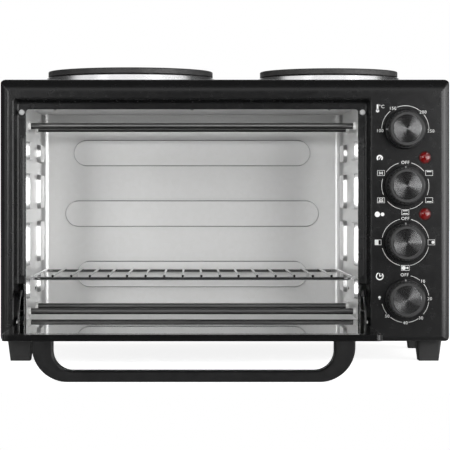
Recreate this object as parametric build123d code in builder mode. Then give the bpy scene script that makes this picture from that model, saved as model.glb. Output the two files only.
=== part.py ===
from build123d import *
from math import cos, radians, sin, tan
import os

# A table-top mini oven with two hot plates on top and a drop-down door, drawn with the door open.
# Millimetres, X to the right as seen from the front, Y towards the back, Z up from the table.

# Overall sizes
body_width = 482
body_height = 281
body_depth = 300
foot_height = 24

# Sheet and wall thicknesses
sheet = 1.0
panel_wall = 3.0
recess_wall = 2.5

# Gaps between pieces
seat_gap = 0.2
round_gap = 0.3
turning_gap = 0.05
fixed_pin_gap = 0.02
hole_end_gap = 1.0

# Front panel
panel_depth = 22
panel_drop = 1.0
panel_top_round = 14
panel_bottom_round = 5
panel_side_round = 9
panel_corner_round = 6
recess_left_margin = 14.5
control_strip = 85
recess_top_margin = 21.4
bottom_rail_height = 13.5
recess_depth = 12
recess_slope = 3.4
recess_corner = 3
recess_edge_round = 1.0
ledge_corner_round = 1.0
ledge_side_width = 9.1
ledge_top_width = 7.2
ledge_bottom_width = 5.5
bead_width = 4.3
bead_height = 0.9
bead_edge_round = 0.8
bead_above_slot = 7.6
bead_below_opening_top = 30.2
bumper_radius = 3.0
bumper_stem_radius = 1.5
bumper_edge = 0.8
bumper_door_gap = 0.1
bumper_below_opening_top = 3.4

# Door, in its open position
pivot_depth = 5
pivot_above_rail = 6.25
door_thickness = 6.5
door_side_gap = 8.7
door_top_gap = 5.85
door_tail = 4
door_corner = 6
door_edge_round = 0.8
frame_lip = 6
stile_width = 15.5
door_top_height = 18
door_top_web = 8
door_bottom_height = 8
door_bottom_web = 6
glass_thickness = 4.0
glass_corner = 1.0

# Handle
handle_inset = 27.55
handle_shift = 1.5
handle_leg_width = 20
handle_bar_thickness = 10.7
handle_depth = 18
handle_from_edge = 0.8
handle_table_gap = 0.5
handle_outer_round = 34
handle_inner_round = 19
handle_edge = 1.5
handle_screw_radius = 2.0
handle_screw_head = 3.6
handle_screw_head_height = 1.4
handle_screw_seat = 1.6
handle_screw_reach = 14

# Hinges and door arms
pin_radius = 2.0
pin_reach = 10.5
pin_head_radius = 3.4
pin_head_thickness = 1.2
arm_thickness = 1.6
arm_inner_radius = 29
arm_outer_radius = 35
arm_swing_start = 68
arm_peg_radius = 2.0
arm_peg_length = 4
arm_hole_radius = 1.2
arm_hole_from_end = 6
bracket_gap = 1.0
bracket_thickness = 1.8
bracket_ear_radius = 5.4
bracket_length = 33
bracket_foot_length = 10
bracket_foot_width = 11
slot_side_gap = 0.5
slot_height = 47
slot_inner_lip = 1.7
slot_sill = 0.3

# Oven cavity
cavity_rear_gap = 38
cavity_over_opening = 1.3
ceiling_over_opening = 4.1
floor_over_ledge = 2.0
back_corner_round = 9
pad_width = 62
pad_height_shares = (23, 50, 42, 22)
pad_gap = 14
pad_floor_margin = 22.5
pad_ceiling_margin = 37.5
pad_raise = 4
pad_corner = 8
pad_taper = 14
front_pad_depth = 60.5
rear_pad_from_back = 46.5
rib_height = 31.5
rib_raise = 4
rib_half_lengths = (138.5, 152, 142)
rib_end_margin = 41
rib_drop = 2.5

# Heater rods
rod_radius = 3.25
rod_pin_radius = 1.6
rod_pin_length = 11
rod_end_inset = 2
upper_rod_drop = 20.5
lower_rod_rise = 7.8
front_rod_depth = 60
rear_rod_from_back = 97
insulator_radius = 4.6
insulator_inside = 3
insulator_outside = 4

# Wire rack
rack_frame_radius = 1.8
rack_rung_radius = 1.35
rack_rung_count = 16
rack_rung_pitch = 20.1
rack_side_gap = 0.6
rack_front_depth = 22
rack_back_gap = 8
rack_corner = 12
rack_weld = 0.4

# Knobs and controls
knob_from_right = 48
knob_top_margin = 54
knob_bottom_margin = 45.5
knob_gap = 1.0
skirt_radius = 21.3
skirt_thickness = 4
grip_radius = 19.2
grip_length = 18.5
grip_draft = 0.7
knob_edge = 1.1
flute_count = 30
flute_size = 1.7
cap_radius = 15
cap_thickness = 1.6
cap_seat = 1.0
cap_edge = 0.4
knob_hollow_radius = 15.5
knob_hollow_depth = 15
hub_radius = 6
shaft_radius = 3.0
shaft_flat = 1.0
shaft_in_knob = 14
shaft_in_control = 12
shaft_hole_radius = 5
pointer_width = 1.6
pointer_length = 2.6
pointer_depth = 1.0
pointer_overrun = 0.3
thermostat_pointer = 180
off_pointer = 90
thermostat_size = (34, 30, 24)
switch_size = (32, 32, 28)
timer_size = (40, 44, 34)
control_corner = 4
control_plate_extra = 6
control_plate_corner = 3
tab_width = 6.3
tab_thickness = 0.8
tab_length = 8

# Indicator lamps
lamp_from_right = 27
lamp_radius = 6.5
lamp_barrel_radius = 5.3
lamp_wall = 1.3
lamp_front_wall = 1.0
lamp_flange = 1.6
lamp_dome = 2.4
lamp_barrel_length = 11
lamp_holder_length = 18
lamp_tab_width = 4.8
lamp_tab_length = 7
lamp_tab_pitch = 5
lamp_bulb_radius = 2.5
lamp_bulb_length = 6

# Hot plates
large_plate_radius = 94.5
small_plate_radius = 79
large_plate_from_left = 135
small_plate_from_right = 119
plate_depth_offset = 15
plate_rim_bottom = 11.5
plate_rim_height = 6
plate_rim_round = 1.2
plate_body_inset = 10
plate_body_height = 10
plate_dish_radius = 24
plate_dish_depth = 1.0
plate_dish_taper = 20
plate_hollow_wall = 7
ring_flare = 5.0
ring_tuck = 2.0
ring_lip = 6
ring_wall = 1.2
ring_shoulder = 4.0
ring_shoulder_drop = 2.0
plate_hole_inset = 6
stud_radius = 3.0
stud_length = 18
clamp_width = 22
clamp_thickness = 2
clamp_overlap = 12
clamp_corner = 3
nut_across_flats = 10
nut_height = 5

# Feet
front_foot_width = 27.5
rear_foot_width = 20
foot_taper = 7.4
foot_corner = 4
front_foot_from_side = 19.5
rear_foot_from_side = 15.4
front_foot_depth = 38
rear_foot_from_back = 87
foot_plug_radius = 4
foot_plug_height = 4

# Cover, rear panel and supply entry
cover_inset = 1.5
cover_round = 6
rear_flange = 11
screw_inset = 6
screw_margin = 22
screw_from_middle = 96
screw_radius = 1.7
screw_head_radius = 3.5
screw_head_height = 2.0
screw_head_edge = 0.6
screw_length = 8
gland_bore = 4.0
gland_body_radius = 7.8
gland_flange_radius = 11
gland_flange = 3
gland_nose = 5
gland_inside = 8
gland_from_right = 41
gland_height = 62
terminal_width = 36
terminal_height = 22
terminal_depth = 16
terminal_corner = 2
terminal_above_gland = 42
terminal_pitch = 11
terminal_row_pitch = 12
terminal_hole_radius = 2.4
terminal_hole_depth = 6
shield_from_recess = 7
shield_from_panel = 0.7
shield_foot = 12
vent_length = 40
vent_width = 3
vent_pitch = 9
wide_vent_pitch = 18
vent_row_pitch = 56
side_vent_count = 12
side_vents_behind_middle = 45
rear_vent_count = 16
base_vent_count = 12
shield_vent_count = 6

# Places that follow from the sizes
body_bottom = foot_height - panel_drop
body_top = body_bottom + body_height
body_middle = body_bottom + body_height / 2
rail_top = body_bottom + bottom_rail_height
recess_half = (body_width - recess_left_margin - control_strip) / 2
door_x = -body_width / 2 + recess_left_margin + recess_half
recess_top = body_top - recess_top_margin
ledge_half = recess_half - recess_slope
ledge_top = recess_top - recess_slope
opening_half = ledge_half - ledge_side_width
opening_top = ledge_top - ledge_top_width
opening_bottom = rail_top + ledge_bottom_width
ledge_middle = (opening_half + ledge_half) / 2
pivot_height = rail_top + pivot_above_rail
door_half = recess_half - door_side_gap
door_length = recess_top - door_top_gap - pivot_height
door_reach = door_length - pivot_depth
door_outer = pivot_height - door_thickness / 2
door_inner = pivot_height + door_thickness / 2
gland_proud = gland_flange + gland_nose
front_y = (door_reach - body_depth - gland_proud) / 2
slot_bottom = rail_top + slot_sill
slot_top = slot_bottom + slot_height
slot_inner = opening_half + slot_inner_lip
pin_outer = door_half + arm_thickness + bracket_gap + bracket_thickness
slot_outer = pin_outer + slot_side_gap
cavity_half = opening_half + cavity_over_opening
ceiling = opening_top + ceiling_over_opening
floor = opening_bottom + floor_over_ledge
cavity_height = ceiling - floor
cavity_middle = (floor + ceiling) / 2
cavity_front = recess_depth + recess_wall + seat_gap
cavity_back = body_depth - cavity_rear_gap
wall_back = cavity_back - back_corner_round
knob_x = body_width / 2 - knob_from_right
knob_pitch = (body_height - knob_top_margin - knob_bottom_margin) / 3
knob_heights = [body_top - knob_top_margin - knob_pitch * place for place in range(4)]
lamp_x = body_width / 2 - lamp_from_right
lamp_heights = [body_top - knob_top_margin - knob_pitch * (place + 0.5) for place in range(2)]
cover_half = body_width / 2 - cover_inset
cover_top = body_top - cover_inset
cover_middle = (foot_height + cover_top) / 2
cover_back = body_depth - sheet
plate_y = front_y + body_depth / 2 + plate_depth_offset
large_plate_x = -body_width / 2 + large_plate_from_left
small_plate_x = body_width / 2 - small_plate_from_right
plate_underside = cover_top + plate_rim_bottom + sheet
gland_place = (body_width / 2 - gland_from_right, foot_height + gland_height)
sides = {"left": -1, "right": 1}

os.makedirs("parts", exist_ok=True)


def save(builder, name):
    builder.part.label = name
    export_step(builder.part, "parts/" + name + ".step")


def front_plane(depth):
    # A plane parallel to the front face, this far behind it
    return Plane.XZ.offset(-(front_y + depth))


# Front panel: one moulding with the door recess, its ledge and the control strip
def rounded_block(inset, back):
    # The front panel's outside shape, shrunk all round by the inset
    width = body_width - 2 * inset
    height = body_height - 2 * inset
    length = back - inset
    with BuildPart() as block:
        with BuildSketch(front_plane(inset)):
            with Locations((0, body_middle)):
                RectangleRounded(width, height, panel_corner_round - inset)
        extrude(amount=-length)
        with BuildSketch(Plane.YZ.offset(-width / 2)) as side_view:
            with Locations((front_y + inset + length / 2, body_middle)):
                Rectangle(length, height)
            fillet(side_view.vertices().group_by(Axis.X)[0].sort_by(Axis.Y)[0], panel_bottom_round - inset)
            fillet(side_view.vertices().group_by(Axis.Y)[-1].sort_by(Axis.X)[0], panel_top_round - inset)
        extrude(amount=width, mode=Mode.INTERSECT)
        with BuildSketch(Plane.XY.offset(body_bottom)) as plan_view:
            with Locations((0, front_y + inset + length / 2)):
                Rectangle(width, length)
            fillet(plan_view.vertices().group_by(Axis.Y)[0], panel_side_round - inset)
        extrude(amount=body_height, mode=Mode.INTERSECT)
    return block.part


def recess_section(half, bottom, top):
    # One rounded rectangle of the door recess
    with Locations((door_x, (bottom + top) / 2)):
        RectangleRounded(2 * half, top - bottom, recess_corner)


def recess_outline(panel, depth):
    # The edges of the door recess that lie at this depth
    near = 0.01

    def on_outline(edge):
        middle = edge.center()
        level = abs(middle.Y - front_y - depth) < near
        across = abs(middle.X - door_x) < recess_half + near
        return level and across and rail_top - near < middle.Z < recess_top + near

    return panel.edges().filter_by(on_outline)


bumper_places = [(door_x + side * ledge_middle, opening_top - bumper_below_opening_top) for side in (-1, 1)]
bead_low = slot_top + bead_above_slot
bead_high = opening_top - bead_below_opening_top
with BuildPart() as front_panel:
    add(rounded_block(0, panel_depth))
    add(rounded_block(panel_wall, panel_depth + panel_wall), mode=Mode.SUBTRACT)
    with BuildSketch(front_plane(recess_wall / 2)):
        recess_section(recess_half + recess_wall, rail_top - recess_wall, recess_top + recess_wall)
    with BuildSketch(front_plane(recess_depth + recess_wall)):
        recess_section(ledge_half + recess_wall, rail_top - recess_wall, ledge_top + recess_wall)
    loft()
    with BuildSketch(front_plane(0)):
        recess_section(recess_half, rail_top, recess_top)
    with BuildSketch(front_plane(recess_depth)):
        recess_section(ledge_half, rail_top, ledge_top)
    loft(mode=Mode.SUBTRACT)
    fillet(recess_outline(front_panel, 0), recess_edge_round)
    fillet(recess_outline(front_panel, recess_depth), ledge_corner_round)
    with BuildSketch(front_plane(recess_depth)):
        with Locations([(door_x + side * ledge_middle, (bead_low + bead_high) / 2) for side in (-1, 1)]):
            SlotOverall(bead_high - bead_low, bead_width, rotation=90)
    beads = extrude(amount=bead_height)
    fillet(beads.faces().group_by(Axis.Y)[0].edges(), bead_edge_round)
    with BuildSketch(front_plane(recess_depth)):
        recess_section(opening_half, opening_bottom, opening_top)
        with Locations(bumper_places):
            Circle(bumper_stem_radius)
    extrude(amount=-recess_wall, mode=Mode.SUBTRACT)
    with BuildSketch(front_plane(recess_depth - ledge_corner_round)):
        for side in (-1, 1):
            with Locations((door_x + side * (slot_inner + slot_outer) / 2, (slot_bottom + slot_top) / 2)):
                Rectangle(slot_outer - slot_inner, slot_height)
    extrude(amount=-(ledge_corner_round + recess_wall), mode=Mode.SUBTRACT)
    with BuildSketch(front_plane(0)):
        with Locations([(knob_x, height) for height in knob_heights]):
            Circle(shaft_hole_radius)
        with Locations([(lamp_x, height) for height in lamp_heights]):
            Circle(lamp_barrel_radius + round_gap)
    extrude(amount=-panel_wall, mode=Mode.SUBTRACT)
save(front_panel, "front_panel")

# Bumpers on the ledge that the closed door meets
bumper_height = recess_depth - (pivot_depth + door_thickness / 2) - bumper_door_gap
with BuildPart() as door_bumpers:
    with BuildSketch(front_plane(recess_depth)):
        with Locations(bumper_places):
            Circle(bumper_radius)
    extrude(amount=bumper_height)
    chamfer(door_bumpers.faces().group_by(Axis.Y)[0].edges(), bumper_edge)
    with BuildSketch(front_plane(recess_depth)):
        with Locations(bumper_places):
            Circle(bumper_stem_radius - fixed_pin_gap)
    extrude(amount=-recess_wall)
save(door_bumpers, "door_bumpers")

# Outer cover: a folded sheet over the top and both sides
rear_screw_places = []
for side in (-1, 1):
    for height in (foot_height + screw_margin, body_middle, cover_top - screw_margin):
        rear_screw_places.append((side * (cover_half - screw_inset), height))
    rear_screw_places.append((side * screw_from_middle, cover_top - screw_inset))
with BuildPart() as outer_cover:
    with BuildSketch(front_plane(panel_depth)) as cover_outline:
        with Locations((0, cover_middle)):
            Rectangle(2 * cover_half, cover_top - foot_height)
        fillet(cover_outline.vertices().group_by(Axis.Y)[-1], cover_round)
        with BuildSketch(mode=Mode.PRIVATE) as cover_hollow:
            with Locations((0, cover_middle - sheet)):
                Rectangle(2 * (cover_half - sheet), cover_top - foot_height)
            fillet(cover_hollow.vertices().group_by(Axis.Y)[-1], cover_round - sheet)
        add(cover_hollow.sketch, mode=Mode.SUBTRACT)
    extrude(amount=-(cover_back - panel_depth))
    with BuildSketch(front_plane(cover_back - sheet)):
        with Locations((0, cover_middle)):
            Rectangle(2 * cover_half - 2 * cover_round, cover_top - foot_height)
            Rectangle(2 * cover_half - sheet, cover_top - foot_height - 2 * cover_round)
        with Locations((0, cover_middle - rear_flange)):
            Rectangle(2 * (cover_half - rear_flange), cover_top - foot_height, mode=Mode.SUBTRACT)
        with Locations(rear_screw_places):
            Circle(screw_radius + fixed_pin_gap, mode=Mode.SUBTRACT)
    extrude(amount=-sheet)
    with BuildSketch(Plane.XY.offset(cover_top)):
        with Locations((large_plate_x, plate_y)):
            Circle(large_plate_radius - plate_hole_inset)
        with Locations((small_plate_x, plate_y)):
            Circle(small_plate_radius - plate_hole_inset)
    extrude(amount=-sheet, mode=Mode.SUBTRACT)
    with BuildSketch(Plane.YZ.offset(-body_width / 2)):
        with Locations((front_y + body_depth / 2 + side_vents_behind_middle, body_middle)):
            with GridLocations(vent_pitch, vent_row_pitch, side_vent_count, 2):
                Rectangle(vent_width, vent_length)
    extrude(amount=body_width, mode=Mode.SUBTRACT)
save(outer_cover, "outer_cover")

# Rear panel with its vents and the hole for the supply entry
with BuildPart() as rear_panel:
    with BuildSketch(front_plane(cover_back)) as rear_outline:
        with Locations((0, cover_middle)):
            Rectangle(2 * cover_half, cover_top - foot_height)
        fillet(rear_outline.vertices().group_by(Axis.Y)[-1], cover_round)
        with Locations(rear_screw_places):
            Circle(screw_radius + fixed_pin_gap, mode=Mode.SUBTRACT)
        with Locations(gland_place):
            Circle(gland_body_radius + seat_gap, mode=Mode.SUBTRACT)
        with Locations((door_x, body_middle)):
            with GridLocations(vent_pitch, vent_row_pitch, rear_vent_count, 2):
                Rectangle(vent_width, vent_length, mode=Mode.SUBTRACT)
    extrude(amount=-sheet)
save(rear_panel, "rear_panel")

with BuildPart() as rear_screws:
    with BuildSketch(front_plane(body_depth)):
        with Locations(rear_screw_places):
            Circle(screw_head_radius)
    extrude(amount=-screw_head_height)
    chamfer(rear_screws.faces().group_by(Axis.Y)[-1].edges(), screw_head_edge)
    with BuildSketch(front_plane(body_depth)):
        with Locations(rear_screw_places):
            Circle(screw_radius)
    extrude(amount=screw_length)
save(rear_screws, "rear_screws")

# Base plate with turned-up sides
front_foot_x = body_width / 2 - front_foot_from_side
rear_foot_x = body_width / 2 - rear_foot_from_side
front_foot_places = [(side * front_foot_x, front_y + front_foot_depth) for side in (-1, 1)]
rear_foot_places = [(side * rear_foot_x, front_y + body_depth - rear_foot_from_back) for side in (-1, 1)]
foot_places = front_foot_places + rear_foot_places
base_half = cover_half - sheet - seat_gap
base_front = panel_depth + seat_gap
base_back = cover_back - sheet - seat_gap
with BuildPart() as base_plate:
    with BuildSketch(front_plane(base_front)):
        with Locations((0, foot_height + rear_flange / 2)):
            Rectangle(2 * base_half, rear_flange)
            with Locations((0, sheet)):
                Rectangle(2 * (base_half - sheet), rear_flange, mode=Mode.SUBTRACT)
    extrude(amount=-(base_back - base_front))
    with BuildSketch(Plane.XY.offset(foot_height)):
        with Locations(foot_places):
            Circle(foot_plug_radius + seat_gap)
        with Locations((door_x, front_y + body_depth / 2)):
            with GridLocations(wide_vent_pitch, vent_row_pitch, base_vent_count, 2):
                Rectangle(vent_width, vent_length)
    extrude(amount=sheet, mode=Mode.SUBTRACT)
save(base_plate, "base_plate")

# Feet: tapered blocks that plug into the base plate, the rear ones smaller
with BuildPart() as feet:
    with BuildSketch(Plane.XY.offset(foot_height)):
        with Locations(front_foot_places):
            RectangleRounded(front_foot_width, front_foot_width, foot_corner)
        with Locations(rear_foot_places):
            RectangleRounded(rear_foot_width, rear_foot_width, foot_corner)
    extrude(amount=-foot_height, taper=foot_taper)
    with BuildSketch(Plane.XY.offset(foot_height)):
        with Locations(foot_places):
            Circle(foot_plug_radius)
    extrude(amount=foot_plug_height)
save(feet, "feet")

# Oven cavity: pressed sheet walls with rack pads, ribbed back, ceiling and floor
pad_room = cavity_height - pad_floor_margin - pad_ceiling_margin - 3 * pad_gap
pad_scale = pad_room / sum(pad_height_shares)
pad_ranges = []
pad_base = floor + pad_floor_margin
for share in pad_height_shares:
    pad_ranges.append((pad_base, pad_base + share * pad_scale))
    pad_base += share * pad_scale + pad_gap
pad_depths = (front_pad_depth, cavity_back - rear_pad_from_back)
rod_depths = (front_rod_depth, cavity_back - rear_rod_from_back)
rod_heights = (ceiling - upper_rod_drop, floor + lower_rod_rise)
rod_places = [(front_y + depth, height) for depth in rod_depths for height in rod_heights]


def pad_faces(shrink):
    # The outlines of all the rack pads of one wall; a low pad limits its own corners
    for depth in pad_depths:
        for low, high in pad_ranges:
            corner = min(pad_corner, 0.45 * (high - low))
            with Locations((front_y + depth, (low + high) / 2)):
                RectangleRounded(pad_width - 2 * shrink, high - low - 2 * shrink, corner - shrink)


def cavity_wall(side):
    # One side wall; the pads stand into the cavity and are hollow behind
    inner = Plane.YZ.offset(door_x + side * cavity_half)
    outer = Plane.YZ.offset(door_x + side * (cavity_half + sheet))
    with BuildPart() as wall:
        with BuildSketch(inner):
            with Locations((front_y + (cavity_front + wall_back) / 2, cavity_middle)):
                Rectangle(wall_back - cavity_front, cavity_height + 2 * sheet)
        extrude(amount=side * sheet)
        with BuildSketch(inner):
            pad_faces(0)
        extrude(amount=-side * pad_raise, taper=pad_taper)
        with BuildSketch(outer):
            pad_faces(sheet)
        extrude(amount=-side * pad_raise, taper=pad_taper, mode=Mode.SUBTRACT)
        with BuildSketch(inner):
            with Locations(rod_places):
                Circle(insulator_radius + round_gap)
        extrude(amount=side * sheet, mode=Mode.SUBTRACT)
    return wall


for name, side in sides.items():
    save(cavity_wall(side), "cavity_" + name + "_wall")

rib_pitch = (cavity_height - 2 * rib_end_margin - 2 * rib_drop) / 2
rib_heights = [cavity_middle - rib_drop + rib_pitch * place for place in (-1, 0, 1)]


def rib_faces(shrink):
    # The outlines of the three ribs of the back wall
    for height, half in zip(rib_heights, rib_half_lengths):
        with Locations((door_x, height)):
            SlotOverall(2 * half - 2 * shrink, rib_height - 2 * shrink)


with BuildPart() as cavity_back_wall:
    with BuildSketch(Plane.XY.offset(floor)) as back_plan:
        with Locations((door_x, front_y + (wall_back + cavity_back + sheet) / 2)):
            Rectangle(2 * (cavity_half + sheet), back_corner_round + sheet)
        fillet(back_plan.vertices().group_by(Axis.Y)[-1], back_corner_round + sheet)
        with BuildSketch(mode=Mode.PRIVATE) as back_hollow:
            with Locations((door_x, front_y + (wall_back + cavity_back - sheet) / 2)):
                Rectangle(2 * cavity_half, back_corner_round + sheet)
            fillet(back_hollow.vertices().group_by(Axis.Y)[-1], back_corner_round)
        add(back_hollow.sketch, mode=Mode.SUBTRACT)
    extrude(amount=cavity_height)
    with BuildSketch(front_plane(cavity_back)):
        rib_faces(0)
    extrude(amount=rib_raise, taper=pad_taper)
    with BuildSketch(front_plane(cavity_back + sheet)):
        rib_faces(sheet)
    extrude(amount=rib_raise, taper=pad_taper, mode=Mode.SUBTRACT)
save(cavity_back_wall, "cavity_back_wall")


def cavity_sheet(height):
    # The ceiling or the floor, with back corners that follow the bends of the back wall
    with BuildPart() as panel:
        with BuildSketch(Plane.XY.offset(height)) as outline:
            with Locations((door_x, front_y + (cavity_front + cavity_back) / 2)):
                Rectangle(2 * cavity_half, cavity_back - cavity_front)
            fillet(outline.vertices().group_by(Axis.Y)[-1], back_corner_round)
        extrude(amount=sheet)
    return panel


save(cavity_sheet(ceiling), "cavity_ceiling")
save(cavity_sheet(floor - sheet), "cavity_floor")

# Heater rods with their terminal pins, and the ceramic insulators in the walls
insulator_end = cavity_half + sheet + insulator_outside


def heater_rod(depth, height):
    rod_half = insulator_end - rod_end_inset
    with BuildPart() as rod:
        for half, radius in ((rod_half, rod_radius), (rod_half + rod_pin_length, rod_pin_radius)):
            with BuildSketch(Plane.YZ.offset(door_x - half)):
                with Locations((front_y + depth, height)):
                    Circle(radius)
            extrude(amount=2 * half)
    return rod


for level, height in zip(("upper", "lower"), rod_heights):
    for place, depth in zip(("front", "rear"), rod_depths):
        save(heater_rod(depth, height), level + "_" + place + "_heater")

with BuildPart() as heater_insulators:
    for start in (-insulator_end, cavity_half - insulator_inside):
        with BuildSketch(Plane.YZ.offset(door_x + start)):
            with Locations(rod_places):
                Circle(insulator_radius)
                Circle(rod_radius + round_gap, mode=Mode.SUBTRACT)
        extrude(amount=insulator_inside + sheet + insulator_outside)
save(heater_insulators, "heater_insulators")

# Wire rack: a bent frame with rungs welded on top, resting on the lowest pads
rack_half = opening_half - rack_side_gap - rack_frame_radius
rack_back = cavity_back - rack_back_gap
pad_top = pad_ranges[0][1] - pad_raise * tan(radians(pad_taper))
rack_height = pad_top + rack_frame_radius + seat_gap
rung_height = rack_height + rack_frame_radius + rack_rung_radius - rack_weld
with BuildPart() as wire_rack:
    with BuildLine(Plane.XY.offset(rack_height)) as rack_path:
        near = front_y + rack_front_depth + rack_frame_radius
        far = front_y + rack_back - rack_frame_radius
        left = door_x - rack_half
        right = door_x + rack_half
        FilletPolyline((left, near), (right, near), (right, far), (left, far), radius=rack_corner, close=True)
    rack_wire = rack_path.wires()[0]
    with BuildSketch(Plane(rack_wire @ 0, z_dir=rack_wire % 0)):
        Circle(rack_frame_radius)
    sweep(path=rack_wire)
    with BuildSketch(front_plane(rack_front_depth)):
        with Locations((door_x, rung_height)):
            with GridLocations(rack_rung_pitch, 1, rack_rung_count, 1):
                Circle(rack_rung_radius)
    extrude(amount=-(rack_back - rack_front_depth))
save(wire_rack, "wire_rack")

# Door: two rails and two stiles with a rebate that the glass lies in, drawn lying open
glass_seat_half = door_half - frame_lip
stile_inner = door_half - stile_width
stile_start = door_bottom_height + door_bottom_web
stile_end = door_length - door_top_height - door_top_web
arm_middle_radius = (arm_inner_radius + arm_outer_radius) / 2


def door_y(distance):
    # The place on the open door this far from its pivot
    return front_y + pivot_depth - distance


def door_plane(distance):
    # A plane across the open door, this far from its pivot
    return front_plane(pivot_depth - distance)


def door_stile(side):
    # A stepped bar along one side of the glass, with the hole for the arm's peg
    with BuildPart() as stile:
        with BuildSketch(door_plane(stile_start)):
            with Locations((door_x + side * (stile_inner + door_half) / 2, pivot_height)):
                RectangleRounded(stile_width, door_thickness, door_edge_round)
            with Locations((door_x + side * (stile_inner + glass_seat_half) / 2, door_inner - glass_thickness / 2)):
                Rectangle(glass_seat_half - stile_inner, glass_thickness, mode=Mode.SUBTRACT)
        extrude(amount=stile_end - stile_start)
        with BuildSketch(Plane.YZ.offset(door_x + side * door_half)):
            with Locations((door_y(arm_middle_radius), pivot_height)):
                Circle(arm_peg_radius + fixed_pin_gap)
        extrude(amount=-side * (arm_peg_length + hole_end_gap), mode=Mode.SUBTRACT)
    return stile


for name, side in sides.items():
    save(door_stile(side), "door_" + name + "_stile")

handle_x = door_x + handle_shift
handle_half = door_half - handle_inset
handle_far = door_length - handle_from_edge
handle_screw_y = door_y(handle_far - handle_depth / 2)
handle_leg_x = handle_half - handle_leg_width / 2
handle_screw_places = [(handle_x + side * handle_leg_x, handle_screw_y) for side in (-1, 1)]
with BuildPart() as door_top_rail:
    with BuildSketch(Plane.XY.offset(door_outer)) as rail_plan:
        with Locations((door_x, door_y((stile_end + door_length) / 2))):
            Rectangle(2 * door_half, door_length - stile_end)
        fillet(rail_plan.vertices().group_by(Axis.Y)[0], door_corner)
    extrude(amount=door_thickness)
    rims = door_top_rail.edges().group_by(Axis.Z)
    fillet(rims[0].sort_by(Axis.Y)[:-1] + rims[-1].sort_by(Axis.Y)[:-1], door_edge_round)
    with BuildSketch(Plane.XY.offset(door_inner)):
        with Locations((door_x, door_y(stile_end + door_top_web / 2))):
            Rectangle(2 * glass_seat_half, door_top_web)
    extrude(amount=-glass_thickness, mode=Mode.SUBTRACT)
    with BuildSketch(Plane.XY.offset(door_inner)):
        with Locations(handle_screw_places):
            Circle(handle_screw_head + round_gap)
    extrude(amount=-handle_screw_seat, mode=Mode.SUBTRACT)
    with BuildSketch(Plane.XY.offset(door_inner)):
        with Locations(handle_screw_places):
            Circle(handle_screw_radius + fixed_pin_gap)
    extrude(amount=-door_thickness, mode=Mode.SUBTRACT)
save(door_top_rail, "door_top_rail")

with BuildPart() as door_bottom_rail:
    with BuildSketch(Plane.YZ.offset(door_x - door_half)) as rail_end:
        with Locations((door_y((stile_start - door_tail) / 2), pivot_height)):
            Rectangle(stile_start + door_tail, door_thickness)
        fillet(rail_end.vertices().group_by(Axis.X)[-1], door_edge_round)
    extrude(amount=2 * door_half)
    with BuildSketch(Plane.XY.offset(door_inner)):
        with Locations((door_x, door_y(stile_start - door_bottom_web / 2))):
            Rectangle(2 * glass_seat_half, door_bottom_web)
    extrude(amount=-glass_thickness, mode=Mode.SUBTRACT)
    for side in (-1, 1):
        with BuildSketch(Plane.YZ.offset(door_x + side * door_half)):
            with Locations((door_y(0), pivot_height)):
                Circle(pin_radius + turning_gap)
        extrude(amount=-side * (pin_reach + hole_end_gap), mode=Mode.SUBTRACT)
save(door_bottom_rail, "door_bottom_rail")

glass_start = door_bottom_height + seat_gap
glass_end = door_length - door_top_height - seat_gap
with BuildPart() as door_glass:
    with BuildSketch(Plane.XY.offset(door_inner)):
        with Locations((door_x, door_y((glass_start + glass_end) / 2))):
            Rectangle(2 * (glass_seat_half - seat_gap), glass_end - glass_start)
    extrude(amount=-glass_thickness)
    chamfer(door_glass.edges().filter_by(Axis.Z), glass_corner)
save(door_glass, "door_glass")

# Bow handle under the open door, with its two screws
with BuildPart() as door_handle:
    with BuildSketch(door_plane(handle_far)) as bow:
        with Locations((handle_x, (door_outer + handle_table_gap) / 2)):
            Rectangle(2 * handle_half, door_outer - handle_table_gap)
        fillet(bow.vertices().group_by(Axis.Y)[0], handle_outer_round)
        with BuildSketch(mode=Mode.PRIVATE) as finger_gap:
            gap_bottom = handle_table_gap + handle_bar_thickness
            with Locations((handle_x, (gap_bottom + door_outer) / 2)):
                Rectangle(2 * (handle_half - handle_leg_width), door_outer - gap_bottom)
            fillet(finger_gap.vertices().group_by(Axis.Y)[0], handle_inner_round)
        add(finger_gap.sketch, mode=Mode.SUBTRACT)
    extrude(amount=-handle_depth)
    bow_rims = door_handle.faces().filter_by(Axis.Y).edges()
    chamfer(bow_rims.filter_by(lambda edge: edge.center().Z < door_outer - handle_edge), handle_edge)
    with BuildSketch(Plane.XY.offset(door_outer)):
        with Locations(handle_screw_places):
            Circle(handle_screw_radius + fixed_pin_gap)
    extrude(amount=-handle_screw_reach, mode=Mode.SUBTRACT)
save(door_handle, "door_handle")

with BuildPart() as handle_screws:
    with BuildSketch(Plane.XY.offset(door_inner - handle_screw_seat)):
        with Locations(handle_screw_places):
            Circle(handle_screw_head)
    extrude(amount=handle_screw_head_height)
    with BuildSketch(Plane.XY.offset(door_outer - handle_screw_reach + hole_end_gap)):
        with Locations(handle_screw_places):
            Circle(handle_screw_radius)
    extrude(amount=door_thickness - handle_screw_seat + handle_screw_reach - hole_end_gap)
save(handle_screws, "handle_screws")


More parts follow.
